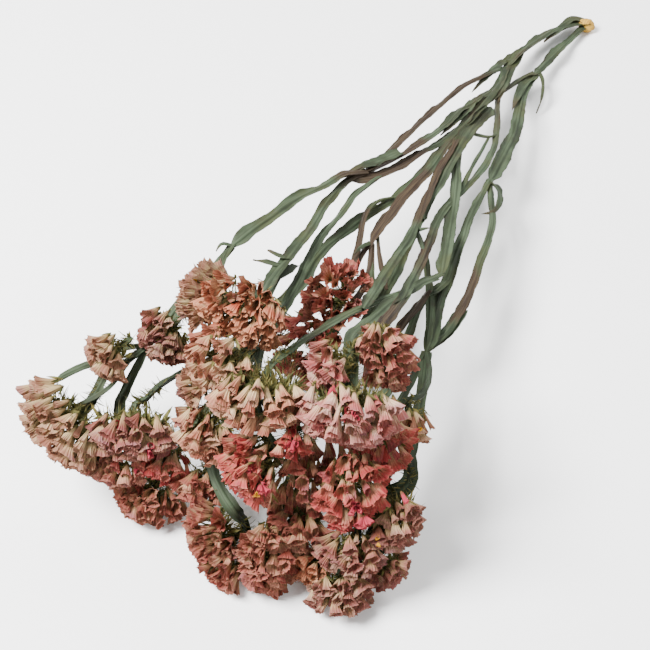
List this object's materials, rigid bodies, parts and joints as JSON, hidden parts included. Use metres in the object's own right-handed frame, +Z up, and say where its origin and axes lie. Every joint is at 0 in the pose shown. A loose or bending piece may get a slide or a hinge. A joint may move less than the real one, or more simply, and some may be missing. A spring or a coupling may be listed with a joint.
{
  "type": "dried statice flower stem",
  "caption": "Cut, branched stem of dried statice with winged stems, strap leaves and one-sided papery flower heads, lying on its side.",
  "frame": {"origin": "middle of the bounding box's base, on the surface that the stem lies on", "axes": "+Y runs along the stem from the flower heads to the cut end, +Z is up from the surface it lies on, and +X is to the right for someone who stands at the flower heads' end and looks along +Y"},
  "size_m": [0.2144, 0.5414, 0.1251],
  "materials": {
    "stem": "matt, dry sage green",
    "head_crown": "matt, papery peach",
    "head_crown_pale": "matt, papery cream",
    "head_crown_lower": "matt, papery dusty pink",
    "head_right_front": "matt, papery dusty pink",
    "head_right_above": "matt, papery dusty pink",
    "head_right_top": "matt, papery dusty pink",
    "head_middle": "matt, papery peach",
    "head_front_middle": "matt, papery coral",
    "head_coral": "matt, papery coral",
    "head_far_left": "matt, papery cream",
    "head_left": "matt, papery dusty pink",
    "head_low_right": "matt, papery mauve pink",
    "head_low_tip": "matt, papery mauve pink",
    "head_low_middle": "matt, papery brown pink",
    "head_low_left": "matt, papery brown pink",
    "head_left_low": "matt, papery brown pink",
    "head_left_under": "matt, papery dusty pink",
    "head_low_between": "matt, papery mauve pink",
    "head_low_under": "matt, papery mauve pink",
    "head_low_centre": "matt, papery brown pink",
    "head_low_peach": "matt, papery peach",
    "head_low_spike": "matt, papery mauve pink",
    "head_left_red": "matt, papery faded red",
    "head_back_red": "matt, papery faded red",
    "head_back_under": "matt, papery faded red",
    "head_inner": "matt, papery brown pink",
    "head_inner_right": "matt, papery faded red",
    "head_small_ash": "matt, papery mauve pink",
    "head_small_left": "matt, papery cream",
    "head_small_middle": "matt, papery dusty pink",
    "head_small_pink": "matt, papery coral",
    "head_small_tan": "matt, papery cream",
    "head_low_gap": "matt, papery brown pink",
    "head_small_right": "matt, papery cream"
  },
  "bodies": {
    "root": {"stem": "stem", "head_crown": "head_crown", "head_crown_pale": "head_crown_pale", "head_crown_lower": "head_crown_lower", "head_right_front": "head_right_front", "head_right_above": "head_right_above", "head_right_top": "head_right_top", "head_middle": "head_middle", "head_front_middle": "head_front_middle", "head_coral": "head_coral", "head_far_left": "head_far_left", "head_left": "head_left", "head_low_right": "head_low_right", "head_low_tip": "head_low_tip", "head_low_middle": "head_low_middle", "head_low_left": "head_low_left", "head_left_low": "head_left_low", "head_left_under": "head_left_under", "head_low_between": "head_low_between", "head_low_under": "head_low_under", "head_low_centre": "head_low_centre", "head_low_peach": "head_low_peach", "head_low_spike": "head_low_spike", "head_left_red": "head_left_red", "head_back_red": "head_back_red", "head_back_under": "head_back_under", "head_inner": "head_inner", "head_inner_right": "head_inner_right", "head_small_ash": "head_small_ash", "head_small_left": "head_small_left", "head_small_middle": "head_small_middle", "head_small_pink": "head_small_pink", "head_small_tan": "head_small_tan", "head_low_gap": "head_low_gap", "head_small_right": "head_small_right"}
  },
  "joints": []
}
